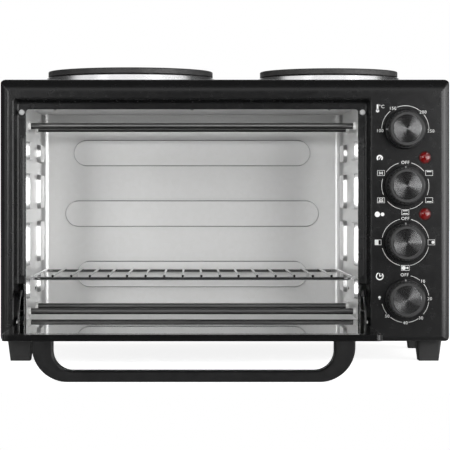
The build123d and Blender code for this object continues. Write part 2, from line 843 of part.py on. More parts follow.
# Hinges: brackets on the base plate, pins into the bottom rail, curved arms on the stiles
def hinge_bracket(side):
    near = door_half + arm_thickness + bracket_gap
    foot_top = pivot_height - bracket_ear_radius
    foot_bottom = foot_height + sheet
    foot_y = front_y + bracket_length - bracket_foot_length / 2
    with BuildPart() as bracket:
        with BuildSketch(Plane.YZ.offset(door_x + side * near)):
            with Locations((door_y(0), pivot_height)):
                Circle(bracket_ear_radius)
            with Locations((front_y + (pivot_depth + bracket_length) / 2, pivot_height)):
                Rectangle(bracket_length - pivot_depth, 2 * bracket_ear_radius)
            with Locations((foot_y, (foot_bottom + foot_top) / 2)):
                Rectangle(bracket_foot_length, foot_top - foot_bottom)
            with Locations((door_y(0), pivot_height)):
                Circle(pin_radius + fixed_pin_gap, mode=Mode.SUBTRACT)
        extrude(amount=side * bracket_thickness)
        with BuildSketch(Plane.XY.offset(foot_bottom)):
            with Locations((door_x + side * (near + bracket_foot_width / 2), foot_y)):
                Rectangle(bracket_foot_width, bracket_foot_length)
        extrude(amount=bracket_thickness)
    return bracket


def door_arm(side):
    # A curved strip about the pivot, pegged to the side of the stile
    hole_angle = radians(arm_swing_start + arm_hole_from_end)
    hole_place = (door_y(-arm_middle_radius * cos(hole_angle)), pivot_height + arm_middle_radius * sin(hole_angle))
    with BuildPart() as arm:
        with BuildSketch(Plane.YZ.offset(door_x + side * door_half)):
            with BuildLine():
                pivot = (door_y(0), pivot_height)
                outer_arc = CenterArc(pivot, arm_outer_radius, arm_swing_start, 180 - arm_swing_start)
                inner_arc = CenterArc(pivot, arm_inner_radius, arm_swing_start, 180 - arm_swing_start)
                Line(outer_arc @ 0, inner_arc @ 0)
                Line(outer_arc @ 1, inner_arc @ 1)
            make_face()
            with Locations((door_y(arm_middle_radius), pivot_height - door_thickness / 4)):
                Rectangle(arm_outer_radius - arm_inner_radius, door_thickness / 2)
            with Locations(hole_place):
                Circle(arm_hole_radius, mode=Mode.SUBTRACT)
        extrude(amount=side * arm_thickness)
        with BuildSketch(Plane.YZ.offset(door_x + side * door_half)):
            with Locations((door_y(arm_middle_radius), pivot_height)):
                Circle(arm_peg_radius)
        extrude(amount=-side * arm_peg_length)
    return arm


for name, side in sides.items():
    save(hinge_bracket(side), name + "_hinge_bracket")
    save(door_arm(side), name + "_door_arm")

with BuildPart() as hinge_pins:
    for side in (-1, 1):
        with BuildSketch(Plane.YZ.offset(door_x + side * (door_half - pin_reach))):
            with Locations((door_y(0), pivot_height)):
                Circle(pin_radius)
        extrude(amount=side * (pin_outer - door_half + pin_reach))
        with BuildSketch(Plane.YZ.offset(door_x + side * pin_outer)):
            with Locations((door_y(0), pivot_height)):
                Circle(pin_head_radius)
        extrude(amount=side * pin_head_thickness)
save(hinge_pins, "hinge_pins")


# Hot plates on chrome trim rings, each held by a clamp bar and a nut
def hot_plate(x, radius):
    with BuildPart() as plate:
        with BuildSketch(Plane.XY.offset(plate_underside)):
            with Locations((x, plate_y)):
                Circle(radius)
        extrude(amount=plate_rim_height)
        fillet(plate.faces().sort_by(Axis.Z)[-1].edges(), plate_rim_round)
        with BuildSketch(Plane.XY.offset(plate_underside + plate_rim_height)):
            with Locations((x, plate_y)):
                Circle(plate_dish_radius)
        extrude(amount=-plate_dish_depth, taper=plate_dish_taper, mode=Mode.SUBTRACT)
        with BuildSketch(Plane.XY.offset(plate_underside)):
            with Locations((x, plate_y)):
                Circle(radius - plate_body_inset)
                Circle(radius - plate_body_inset - plate_hollow_wall, mode=Mode.SUBTRACT)
                Circle(plate_dish_radius)
        extrude(amount=-plate_body_height)
        with BuildSketch(Plane.XY.offset(plate_underside - plate_body_height)):
            with Locations((x, plate_y)):
                Circle(stud_radius)
        extrude(amount=-stud_length)
    return plate


def trim_ring(x, radius):
    # A thin ring with a shoulder round the plate's rim, flared down to the cover
    rim = x + radius - ring_tuck
    shoulder = rim + ring_shoulder
    shoulder_height = plate_underside - ring_shoulder_drop
    foot = x + radius + ring_flare
    with BuildPart() as ring:
        with BuildSketch(Plane.XZ.offset(-plate_y)):
            with BuildLine():
                Polyline(
                    (rim - ring_lip, plate_underside - sheet),
                    (rim - ring_lip, plate_underside),
                    (rim, plate_underside),
                    (shoulder, shoulder_height),
                    (foot, cover_top),
                    (foot - ring_wall, cover_top),
                    (shoulder - ring_wall, shoulder_height - sheet),
                    (rim - ring_wall, plate_underside - sheet),
                    close=True,
                )
            make_face()
        revolve(axis=Axis((x, plate_y, 0), (0, 0, 1)))
    return ring


def clamp_bar(x, radius):
    # A bar under the cover's hole that the stud passes through
    with BuildPart() as bar:
        with BuildSketch(Plane.XY.offset(cover_top - sheet)):
            with Locations((x, plate_y)):
                RectangleRounded(clamp_width, 2 * (radius - plate_hole_inset + clamp_overlap), clamp_corner)
                Circle(stud_radius + seat_gap, mode=Mode.SUBTRACT)
        extrude(amount=-clamp_thickness)
    return bar


plates = {"large": (large_plate_x, large_plate_radius), "small": (small_plate_x, small_plate_radius)}
for name, (x, radius) in plates.items():
    save(hot_plate(x, radius), name + "_hotplate")
    save(trim_ring(x, radius), name + "_trim_ring")
    save(clamp_bar(x, radius), name + "_hotplate_clamp")

with BuildPart() as hotplate_nuts:
    with BuildSketch(Plane.XY.offset(cover_top - sheet - clamp_thickness)):
        with Locations([(x, plate_y) for x, radius in plates.values()]):
            RegularPolygon(nut_across_flats / 2, 6, major_radius=False)
            Circle(stud_radius + fixed_pin_gap, mode=Mode.SUBTRACT)
    extrude(amount=-nut_height)
save(hotplate_nuts, "hotplate_nuts")

# Knobs, their metal caps, the shafts and the controls behind the panel
knob_front = knob_gap + skirt_thickness + grip_length


def shaft_section(radius):
    # A round section with one flat at the top
    Circle(radius)
    with Locations((0, radius)):
        Rectangle(2 * radius, 2 * shaft_flat, mode=Mode.SUBTRACT)


def knob(height, pointer):
    # A hollow skirted knob with a fluted grip, its pointer notch turned to the given angle
    back = front_y - knob_gap
    step = back - skirt_thickness
    face = front_y - knob_front
    with BuildPart() as body:
        with BuildSketch(Plane.YZ.offset(knob_x)):
            with BuildLine():
                Polyline(
                    (back, height),
                    (back, height + skirt_radius),
                    (step + knob_edge, height + skirt_radius),
                    (step, height + skirt_radius - knob_edge),
                    (step, height + grip_radius),
                    (face + knob_edge, height + grip_radius - grip_draft),
                    (face, height + grip_radius - grip_draft - knob_edge),
                    (face, height),
                    close=True,
                )
            make_face()
        revolve(axis=Axis((knob_x, 0, height), (0, 1, 0)))
        with BuildSketch(front_plane(-knob_gap - skirt_thickness)):
            with Locations((knob_x, height)):
                with PolarLocations(grip_radius, flute_count):
                    Rectangle(flute_size, flute_size, rotation=45)
        extrude(amount=grip_length, mode=Mode.SUBTRACT)
        with BuildSketch(front_plane(-knob_front)):
            with Locations((knob_x, height)):
                Circle(cap_radius + seat_gap)
        extrude(amount=-cap_seat, mode=Mode.SUBTRACT)
        with BuildSketch(front_plane(-knob_gap)):
            with Locations((knob_x, height)):
                Circle(knob_hollow_radius)
                Circle(hub_radius, mode=Mode.SUBTRACT)
        extrude(amount=knob_hollow_depth, mode=Mode.SUBTRACT)
        with BuildSketch(front_plane(-knob_gap)):
            with Locations((knob_x, height)):
                shaft_section(shaft_radius + fixed_pin_gap)
        extrude(amount=shaft_in_knob + hole_end_gap, mode=Mode.SUBTRACT)
        with BuildSketch(front_plane(-knob_gap - skirt_thickness)):
            with Locations((knob_x, height)):
                pointer_middle = skirt_radius + pointer_overrun - pointer_length / 2
                with PolarLocations(pointer_middle, 1, start_angle=pointer):
                    Rectangle(pointer_length, pointer_width)
        extrude(amount=-pointer_depth, mode=Mode.SUBTRACT)
    return body


def knob_cap(height):
    with BuildPart() as cap:
        with BuildSketch(front_plane(cap_seat - knob_front)):
            with Locations((knob_x, height)):
                Circle(cap_radius)
        extrude(amount=cap_thickness)
        chamfer(cap.faces().sort_by(Axis.Y)[0].edges(), cap_edge)
    return cap


def knob_shaft(height):
    with BuildPart() as shaft:
        with BuildSketch(front_plane(-knob_gap - shaft_in_knob)):
            with Locations((knob_x, height)):
                shaft_section(shaft_radius)
        extrude(amount=-(shaft_in_knob + knob_gap))
        with BuildSketch(front_plane(0)):
            with Locations((knob_x, height)):
                Circle(shaft_radius)
        extrude(amount=-(panel_wall + shaft_in_control))
    return shaft


def control(height, size):
    # A switch body with its mounting plate on the back of the panel and tabs for the wires
    width, tall, deep = size
    with BuildPart() as body:
        with BuildSketch(front_plane(panel_wall)):
            with Locations((knob_x, height)):
                RectangleRounded(width + control_plate_extra, tall, control_plate_corner)
        extrude(amount=-sheet)
        with BuildSketch(front_plane(panel_wall + sheet)):
            with Locations((knob_x, height)):
                RectangleRounded(width, tall, control_corner)
        extrude(amount=-deep)
        with BuildSketch(front_plane(panel_wall + sheet + deep)):
            with Locations((knob_x, height)):
                with GridLocations(width / 2, tall / 2, 2, 2):
                    Rectangle(tab_width, tab_thickness)
        extrude(amount=-tab_length)
        with BuildSketch(front_plane(panel_wall)):
            with Locations((knob_x, height)):
                Circle(shaft_radius + turning_gap)
        extrude(amount=-(shaft_in_control + hole_end_gap), mode=Mode.SUBTRACT)
    return body


dial_names = ("thermostat", "mode", "hotplate", "timer")
dial_pointers = (thermostat_pointer, off_pointer, off_pointer, off_pointer)
for name, height, pointer in zip(dial_names, knob_heights, dial_pointers):
    save(knob(height, pointer), name + "_knob")
    save(knob_cap(height), name + "_knob_cap")
    save(knob_shaft(height), name + "_shaft")

control_names = ("thermostat", "mode_switch", "hotplate_switch", "timer")
control_sizes = (thermostat_size, switch_size, switch_size, timer_size)
for name, height, size in zip(control_names, knob_heights, control_sizes):
    save(control(height, size), name)

# Indicator lamps: red lenses and the lamp holders behind them
lamp_places = [(lamp_x, height) for height in lamp_heights]
with BuildPart() as lamp_lenses:
    with BuildSketch(front_plane(0)):
        with Locations(lamp_places):
            Circle(lamp_radius)
    extrude(amount=lamp_flange + lamp_dome)
    fillet(lamp_lenses.faces().group_by(Axis.Y)[0].edges(), lamp_dome)
    with BuildSketch(front_plane(0)):
        with Locations(lamp_places):
            Circle(lamp_barrel_radius)
    extrude(amount=-lamp_barrel_length)
    with BuildSketch(front_plane(lamp_barrel_length)):
        with Locations(lamp_places):
            Circle(lamp_barrel_radius - lamp_wall)
    extrude(amount=lamp_barrel_length - lamp_front_wall, mode=Mode.SUBTRACT)
save(lamp_lenses, "lamp_lenses")

with BuildPart() as lamp_holders:
    with BuildSketch(front_plane(lamp_barrel_length)):
        with Locations(lamp_places):
            Circle(lamp_barrel_radius)
    extrude(amount=-lamp_holder_length)
    with BuildSketch(front_plane(lamp_barrel_length + lamp_holder_length)):
        with Locations(lamp_places):
            with GridLocations(1, lamp_tab_pitch, 1, 2):
                Rectangle(lamp_tab_width, tab_thickness)
    extrude(amount=-lamp_tab_length)
    with BuildSketch(front_plane(lamp_barrel_length)):
        with Locations(lamp_places):
            Circle(lamp_bulb_radius)
    extrude(amount=lamp_bulb_length)
save(lamp_holders, "lamp_holders")

# Sheet shield between the cavity and the controls, standing on the base plate
shield_x = door_x + recess_half + shield_from_recess
shield_front = panel_depth + shield_from_panel
shield_bottom = foot_height + sheet
shield_top = cover_top - 2 * sheet
with BuildPart() as control_bay_shield:
    with BuildSketch(front_plane(shield_front)):
        with Locations((shield_x, (shield_bottom + shield_top) / 2)):
            Rectangle(sheet, shield_top - shield_bottom)
        with Locations((shield_x + shield_foot / 2, shield_bottom + sheet / 2)):
            Rectangle(shield_foot, sheet)
    extrude(amount=-(base_back - shield_front))
    with BuildSketch(Plane.YZ.offset(shield_x - sheet)):
        with Locations((front_y + body_depth / 2, body_middle)):
            with GridLocations(wide_vent_pitch, vent_row_pitch, shield_vent_count, 2):
                Rectangle(vent_width, vent_length)
    extrude(amount=2 * sheet, mode=Mode.SUBTRACT)
save(control_bay_shield, "control_bay_shield")

# Supply entry: the gland in the rear panel and the terminal block above it
with BuildPart() as cord_gland:
    with BuildSketch(front_plane(body_depth - gland_inside)):
        with Locations(gland_place):
            Circle(gland_body_radius)
    extrude(amount=-gland_inside)
    with BuildSketch(front_plane(body_depth)):
        with Locations(gland_place):
            Circle(gland_flange_radius)
    extrude(amount=-gland_flange)
    with BuildSketch(front_plane(body_depth + gland_flange)):
        with Locations(gland_place):
            RegularPolygon(gland_body_radius, 6, major_radius=False)
    extrude(amount=-gland_nose)
    with BuildSketch(front_plane(cover_back)):
        with Locations(gland_place):
            Circle(gland_flange_radius)
    extrude(amount=gland_flange)
    with BuildSketch(front_plane(body_depth - gland_inside)):
        with Locations(gland_place):
            Circle(gland_bore)
    extrude(amount=-(gland_inside + gland_proud), mode=Mode.SUBTRACT)
save(cord_gland, "cord_gland")

terminal_place = (gland_place[0], gland_place[1] + terminal_above_gland)
with BuildPart() as terminal_block:
    with BuildSketch(front_plane(cover_back)):
        with Locations(terminal_place):
            RectangleRounded(terminal_width, terminal_height, terminal_corner)
    extrude(amount=terminal_depth)
    with BuildSketch(front_plane(cover_back - terminal_depth)):
        with Locations(terminal_place):
            with GridLocations(terminal_pitch, terminal_row_pitch, 3, 2):
                Circle(terminal_hole_radius)
    extrude(amount=-terminal_hole_depth, mode=Mode.SUBTRACT)
save(terminal_block, "terminal_block")
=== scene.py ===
import math

import bmesh
import bpy
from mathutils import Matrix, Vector
from mathutils.geometry import tessellate_polygon


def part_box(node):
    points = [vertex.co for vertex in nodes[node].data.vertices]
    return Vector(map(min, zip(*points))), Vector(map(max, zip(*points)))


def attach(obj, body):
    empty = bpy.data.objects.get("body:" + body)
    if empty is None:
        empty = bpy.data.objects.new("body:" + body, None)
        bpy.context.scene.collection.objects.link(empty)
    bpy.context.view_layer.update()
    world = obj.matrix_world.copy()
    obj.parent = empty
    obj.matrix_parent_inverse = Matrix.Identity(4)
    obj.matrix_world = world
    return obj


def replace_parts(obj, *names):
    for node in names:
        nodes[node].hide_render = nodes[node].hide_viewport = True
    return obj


# Looks of a toaster oven with two hot plates. Metres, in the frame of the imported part.

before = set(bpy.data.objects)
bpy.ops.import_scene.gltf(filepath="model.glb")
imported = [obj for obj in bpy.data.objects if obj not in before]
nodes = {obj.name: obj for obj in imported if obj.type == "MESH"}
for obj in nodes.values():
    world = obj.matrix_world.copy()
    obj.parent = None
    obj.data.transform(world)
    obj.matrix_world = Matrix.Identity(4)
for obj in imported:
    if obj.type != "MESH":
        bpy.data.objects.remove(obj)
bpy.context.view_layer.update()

mm = 0.001
panel_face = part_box("front_panel")[0][1]
cavity_low, cavity_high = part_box("cavity_ceiling")
cavity_x = (cavity_low[0] + cavity_high[0]) / 2

# Camera: level, in front of the open door
camera_x = -35.3 * mm
camera_height = 178.6 * mm
camera_distance = 2150 * mm
camera_sensor = 36
camera_lens = 160.7
camera_shift_right = 0.0733
camera_shift_up = -0.0644

camera_data = bpy.data.cameras.new("camera")
camera_data.sensor_width = camera_sensor
camera_data.lens = camera_lens
camera_data.shift_x = camera_shift_right
camera_data.shift_y = camera_shift_up
camera = bpy.data.objects.new("camera", camera_data)
camera.location = (camera_x, panel_face - camera_distance, camera_height)
camera.rotation_euler = (math.radians(90), 0, 0)
bpy.context.scene.collection.objects.link(camera)
bpy.context.scene.camera = camera
bpy.context.scene.view_settings.view_transform = "Standard"

# Places of the colour sockets in a mix node
mix_first = 6
mix_second = 7
mix_result = 2


class Surface:
    """A node material: one Principled shader, with patterns for its colour, roughness and relief."""

    def __init__(self, name, colour, roughness, metallic=0.0, specular=0.5):
        self.material = bpy.data.materials.new(name)
        self.material.use_nodes = True
        self.tree = self.material.node_tree
        self.shader = self.tree.nodes["Principled BSDF"]
        self.set("Base Color", (*colour, 1))
        self.set("Roughness", roughness)
        self.set("Metallic", metallic)
        self.set("Specular IOR Level", specular)
        self.place = self.tree.nodes.new("ShaderNodeTexCoord").outputs["Object"]
        self.relief = None

    def set(self, socket, value):
        self.shader.inputs[socket].default_value = value

    def link(self, output, node, socket):
        self.tree.links.new(output, node.inputs[socket])

    def node(self, kind, **settings):
        made = self.tree.nodes.new(kind)
        for setting, value in settings.items():
            setattr(made, setting, value)
        return made

    def stretched(self, stretch, centre=(0, 0, 0)):
        """The place in the frame, measured from the centre and stretched along each axis."""
        mapping = self.node("ShaderNodeMapping", vector_type="TEXTURE")
        mapping.inputs["Location"].default_value = centre
        mapping.inputs["Scale"].default_value = stretch
        self.link(self.place, mapping, "Vector")
        return mapping.outputs["Vector"]

    def noise(self, size, stretch=(1, 1, 1), detail=3.0):
        """Cloudy noise with spots of about this size in metres."""
        made = self.node("ShaderNodeTexNoise")
        made.inputs["Scale"].default_value = 1 / size
        made.inputs["Detail"].default_value = detail
        self.link(self.stretched(stretch), made, "Vector")
        return made.outputs["Fac"]

    def cells(self, size):
        """Patches of about this size in metres, each of one value."""
        made = self.node("ShaderNodeTexVoronoi")
        made.inputs["Scale"].default_value = 1 / size
        self.link(self.place, made, "Vector")
        grey_value = self.node("ShaderNodeRGBToBW")
        self.link(made.outputs["Color"], grey_value, "Color")
        return grey_value.outputs["Val"]

    def along(self, axis):
        """The place along one axis of the frame, in metres."""
        made = self.node("ShaderNodeSeparateXYZ")
        self.link(self.place, made, "Vector")
        return made.outputs[axis]

    def facing(self, axis):
        """How far the surface faces along one axis of the frame, from -1 to 1."""
        made = self.node("ShaderNodeSeparateXYZ")
        self.link(self.node("ShaderNodeNewGeometry").outputs["True Normal"], made, "Vector")
        return made.outputs[axis]

    def rings(self, centre, pitch, distortion=0.3):
        """Turned grooves round a vertical axis through the centre."""
        made = self.node("ShaderNodeTexWave", wave_type="RINGS", rings_direction="Z")
        made.inputs["Scale"].default_value = math.pi / (10 * pitch)
        made.inputs["Distortion"].default_value = distortion
        self.link(self.stretched((1, 1, 1), centre), made, "Vector")
        return made.outputs["Fac"]

    def ranged(self, value, low=0, high=1, start=0.3, end=0.7):
        """The value from start to end as low to high."""
        made = self.node("ShaderNodeMapRange")
        for socket, number in (("From Min", start), ("From Max", end), ("To Min", low), ("To Max", high)):
            made.inputs[socket].default_value = number
        self.link(value, made, "Value")
        return made.outputs["Result"]

    def tint(self, value, first, second):
        """The colour goes from first to second with the value."""
        made = self.node("ShaderNodeMix", data_type="RGBA")
        made.inputs[mix_first].default_value = (*first, 1)
        made.inputs[mix_second].default_value = (*second, 1)
        self.link(value, made, "Factor")
        self.link(made.outputs[mix_result], self.shader, "Base Color")

    def shade(self, value, colour):
        """The colour it has already goes over to this one with the value."""
        made = self.node("ShaderNodeMix", data_type="RGBA")
        self.link(self.shader.inputs["Base Color"].links[0].from_socket, made, mix_first)
        made.inputs[mix_second].default_value = (*colour, 1)
        self.link(value, made, "Factor")
        self.link(made.outputs[mix_result], self.shader, "Base Color")

    def finish(self, value):
        """The roughness follows the value."""
        self.link(value, self.shader, "Roughness")

    def rounded(self, radius, samples=6):
        """Edges shine as if they were rounded to this radius."""
        made = self.node("ShaderNodeBevel", samples=samples)
        made.inputs["Radius"].default_value = radius
        self.relief = made.outputs["Normal"]

    def bump(self, value, depth):
        """The surface rises and falls by this depth in metres, over what it has already."""
        made = self.node("ShaderNodeBump")
        made.inputs["Strength"].default_value = 1.0
        made.inputs["Distance"].default_value = depth
        self.link(value, made, "Height")
        if self.relief:
            self.link(self.relief, made, "Normal")
        self.relief = made.outputs["Normal"]
        self.link(self.relief, self.shader, "Normal")


def grey(value, blue=0.0):
    """A grey that is this much bluer, or yellower where it is below 0."""
    return value, value, value + blue


def painted(name, colours, roughness, grain, depth, specular, edge=0.0, cloud=40 * mm, patch=6 * mm):
    """Black paint or moulded plastic with a fine even grain; thick paint rounds the edges."""
    made = Surface(name, colours[0], roughness[0], specular=specular)
    if edge:
        made.rounded(edge)
    made.tint(made.ranged(made.noise(cloud)), *colours)
    made.finish(made.ranged(made.noise(patch), *roughness))
    made.bump(made.noise(grain, detail=2), depth)
    return made.material


def lit_grip_plastic(name, skirt, grip, roughness, patch=4 * mm, grain=0.4 * mm, depth=0.01 * mm):
    """Black plastic whose grip is paler than the skirt at the panel: the paler grip is a painted highlight
    for the light on its front.
    """
    grip_start = panel_face - 8 * mm
    skirt_end = panel_face - 5 * mm
    made = Surface(name, skirt, roughness[0], specular=0.4)
    # Painted highlight: the grip is made paler than the skirt in the colour
    made.tint(made.ranged(made.along("Y"), 1, 0, grip_start, skirt_end), skirt, grip)
    made.finish(made.ranged(made.noise(patch), *roughness))
    made.bump(made.noise(grain, detail=2), depth)
    return made.material


def sheet_steel(name, colours, roughness, stretch, spangle, metallic=1.0,
                under=None, over=None, bend=None, painted_top_shade=None):
    """Plain sheet metal with rolling streaks, a faint spangle and slight waves.

    Steps that face down or up, bends that face aside and the top above the heaters can be darker: painted
    shade.
    """
    slope_start, slope_end = 0.1, 0.3
    bend_start, bend_end = 0.2, 0.4
    # Heights between which the top above the heaters takes painted shade
    top_shade_start, top_shade_end = 259 * mm, 264 * mm
    streak, streak_depth = 1.5 * mm, 0.001 * mm
    wave, wave_depth = 60 * mm, 0.06 * mm
    made = Surface(name, colours[0], roughness[0], metallic=metallic)
    made.tint(made.ranged(made.cells(spangle), 0, 1, 0.2, 0.8), *colours)
    # Painted shade: steps that face up or down and bends that face aside are darkened in the colour
    if over:
        made.shade(made.ranged(made.facing("Z"), 0, 1, slope_start, slope_end), over)
    if under:
        made.shade(made.ranged(made.facing("Z"), 1, 0, -slope_end, -slope_start), under)
    if bend:
        made.shade(made.ranged(made.facing("X"), 0, 1, bend_start, bend_end), bend)
        made.shade(made.ranged(made.facing("X"), 1, 0, -bend_end, -bend_start), bend)
    # Painted shade: the top above the heaters is darkened in the colour
    if painted_top_shade:
        made.shade(made.ranged(made.along("Z"), 0, 1, top_shade_start, top_shade_end), painted_top_shade)
    streaks = made.noise(streak, stretch)
    made.finish(made.ranged(streaks, *roughness))
    made.bump(streaks, streak_depth)
    made.bump(made.noise(wave, detail=1), wave_depth)
    return made.material


def polished(name, colours, roughness, front=None, cloud=25 * mm, patch=8 * mm, wave=4 * mm, depth=0.01 * mm):
    """Bright plated metal, a little uneven; wires can carry a painted dark reflection where they face the
    front.
    """
    to_the_front, aside = -0.9, -0.3
    made = Surface(name, colours[0], roughness[0], metallic=1.0)
    made.tint(made.ranged(made.noise(cloud)), *colours)
    if front:
        # Painted reflection: surfaces facing the front are darkened as if they mirrored a dark room
        made.shade(made.ranged(made.facing("Y"), 1, 0, to_the_front, aside), front)
    made.finish(made.ranged(made.noise(patch), *roughness))
    made.bump(made.noise(wave, detail=1), depth)
    return made.material


def matte(name, colours, roughness, grain, depth, cloud=5 * mm, patch=2 * mm):
    """A dull uneven surface: ceramic, silicone, switch plastic, ink."""
    made = Surface(name, colours[0], roughness[0], specular=0.4)
    made.tint(made.ranged(made.noise(cloud)), *colours)
    made.finish(made.ranged(made.noise(patch), *roughness))
    made.bump(made.noise(grain), depth)
    return made.material


def cast_iron(name, node):
    """A black coated casting with turned rings on its top."""
    colours = (0.026, 0.026, 0.027), (0.042, 0.041, 0.04)
    ring_pitch, ring_depth = 2.4 * mm, 0.08 * mm
    grain, grain_depth = 0.8 * mm, 0.05 * mm
    low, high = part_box(node)
    centre = ((low[0] + high[0]) / 2, (low[1] + high[1]) / 2, 0)
    made = Surface(name, colours[0], 0.5, specular=0.4)
    made.tint(made.ranged(made.noise(12 * mm)), *colours)
    made.finish(made.ranged(made.noise(3 * mm), 0.42, 0.62))
    made.bump(made.rings(centre, ring_pitch), ring_depth)
    made.bump(made.noise(grain), grain_depth)
    return made.material


def spun_metal(name):
    """A dark metal cap turned on its face, so that its shine spreads across fine rings."""
    colours = grey(0.2, 0.002), grey(0.23, 0.002)
    made = Surface(name, colours[0], 0.15, metallic=1.0)
    made.set("Anisotropic", 0.93)
    made.set("Anisotropic Rotation", 0.25)
    tangent = made.node("ShaderNodeTangent", direction_type="RADIAL", axis="Y")
    made.link(tangent.outputs["Tangent"], made.shader, "Tangent")
    made.tint(made.ranged(made.noise(3 * mm)), *colours)
    made.finish(made.ranged(made.noise(4 * mm), 0.15, 0.17))
    return made.material


def clear_glass(name):
    """Slightly smoked glass with a faint haze."""
    made = Surface(name, (0.74, 0.76, 0.76), 0.02)
    made.set("Transmission Weight", 1.0)
    made.set("IOR", 1.52)
    made.finish(made.ranged(made.noise(30 * mm), 0.0, 0.03))
    return made.material


def red_lens(name):
    """Glossy red plastic that light enters, darker at its rim."""
    colours = (0.14, 0.002, 0.002), (0.19, 0.003, 0.003)
    rim = (0.05, 0.012, 0.012)
    rim_start = panel_face - 1.6 * mm
    rim_end = panel_face - 1 * mm
    made = Surface(name, colours[0], 0.4, specular=0.0)
    made.set("Coat Weight", 1.0)
    made.set("Coat Roughness", 0.06)
    made.set("Subsurface Weight", 0.3)
    made.set("Subsurface Radius", (0.004, 0.0006, 0.0006))
    made.tint(made.ranged(made.noise(3 * mm)), *colours)
    made.shade(made.ranged(made.along("Y"), 0, 1, rim_start, rim_end), rim)
    return made.material


def heater_sheath(name):
    """A dark oxidised steel sheath, with painted shade that makes it blackest underneath."""
    colours = grey(0.09), grey(0.12, -0.002)
    underside_shade = grey(0.015)
    downward, level = -0.7, -0.1
    along_rod = (3, 1, 1)
    made = Surface(name, colours[0], 0.4, metallic=0.9)
    made.tint(made.ranged(made.noise(30 * mm, along_rod)), *colours)
    # Painted shade: the downward-facing side is darkened in the colour
    made.shade(made.ranged(made.facing("Z"), 1, 0, downward, level), underside_shade)
    made.finish(made.ranged(made.noise(3 * mm), 0.3, 0.42))
    made.bump(made.noise(1 * mm), 0.02 * mm)
    return made.material


rolled_across = (18, 1, 1)
rolled_up = (1, 1, 18)

black_paint = painted("black_paint", (grey(0.006, 0.0002), grey(0.0075, 0.0002)), (0.22, 0.28),
                      grain=0.5 * mm, depth=0.003 * mm, specular=0.32, edge=2.5 * mm)
black_enamel = painted("black_enamel", (grey(0.005, 0.0002), grey(0.006, 0.0002)), (0.14, 0.2),
                       grain=0.9 * mm, depth=0.006 * mm, specular=0.25)
black_plastic = painted("black_plastic", (grey(0.0045, 0.0002), grey(0.006, 0.0002)), (0.3, 0.4),
                        grain=0.45 * mm, depth=0.015 * mm, specular=0.26)
foot_plastic = painted("foot_plastic", (grey(0.03), grey(0.036)), (0.5, 0.62),
                       grain=0.5 * mm, depth=0.03 * mm, specular=0.4)
knob_plastic = lit_grip_plastic("knob_plastic", grey(0.004, 0.0002), grey(0.032, 0.0003), (0.3, 0.4))
# The cavity sheets are one steel in lit and shaded copies: the side walls and ceiling are painted darker than
# the back wall and floor. The under, over and bend colours are painted shade on steps and bends, and the back
# wall's last colour is painted shade on the top above the heaters.
side_sheet = sheet_steel("cavity_side_sheet", (grey(0.64, -0.005), grey(0.66, -0.005)), (0.28, 0.3),
                         rolled_up, spangle=5 * mm, metallic=0.5, under=grey(0.4), over=grey(0.34))
back_sheet = sheet_steel("cavity_back_sheet", (grey(0.83, -0.008), grey(0.845, -0.005)), (0.3, 0.32),
                         rolled_across, spangle=5 * mm, metallic=0.5, under=grey(0.2), over=grey(0.04),
                         bend=grey(0.52), painted_top_shade=grey(0.34, -0.005))
ceiling_sheet = sheet_steel("cavity_ceiling_sheet", (grey(0.6, -0.005), grey(0.62, -0.005)), (0.34, 0.36),
                            rolled_across, spangle=5 * mm, metallic=0.5)
floor_sheet = sheet_steel("cavity_floor_sheet", (grey(0.84, -0.008), grey(0.86, -0.005)), (0.34, 0.36),
                          rolled_across, spangle=5 * mm, metallic=0.5)
zinc_sheet = sheet_steel("zinc_sheet", (grey(0.53), grey(0.6, -0.005)), (0.36, 0.46),
                         stretch=(8, 1, 1), spangle=7 * mm)
small_steel = polished("small_steel", (grey(0.5, -0.01), grey(0.58, -0.01)), (0.22, 0.34))
dark_steel = polished("dark_steel", (grey(0.05), grey(0.08)), (0.24, 0.36))
chrome = polished("chrome", (grey(0.74, 0.01), grey(0.8, 0.01)), (0.2, 0.24))
# The rack's wires get a painted dark reflection where they face the front
wire_chrome = polished("wire_chrome", (grey(0.68, 0.01), grey(0.76, 0.01)), (0.06, 0.1), front=grey(0.1))
brass = polished("brass", ((0.6, 0.45, 0.2), (0.7, 0.54, 0.26)), (0.25, 0.35))
ceramic = matte("ceramic", (grey(0.6, -0.01), grey(0.68, -0.01)), (0.55, 0.7), 0.5 * mm, 0.03 * mm)
silicone = matte("silicone", (grey(0.42), grey(0.5)), (0.5, 0.62), 0.6 * mm, 0.02 * mm)
switch_plastic = matte("switch_plastic", ((0.56, 0.52, 0.43), (0.64, 0.6, 0.5)), (0.45, 0.55),
                       0.6 * mm, 0.02 * mm)
white_ink = matte("white_ink", (grey(0.86, -0.01), grey(0.92, -0.01)), (0.5, 0.62), 0.3 * mm, 0.01 * mm)
pointer_ink = matte("pointer_ink", (grey(0.3), grey(0.36)), (0.5, 0.62), 0.3 * mm, 0.01 * mm)
sheath = heater_sheath("heater_sheath")
glass = clear_glass("door_glass")
lens = red_lens("red_lens")
cap_metal = spun_metal("spun_metal")

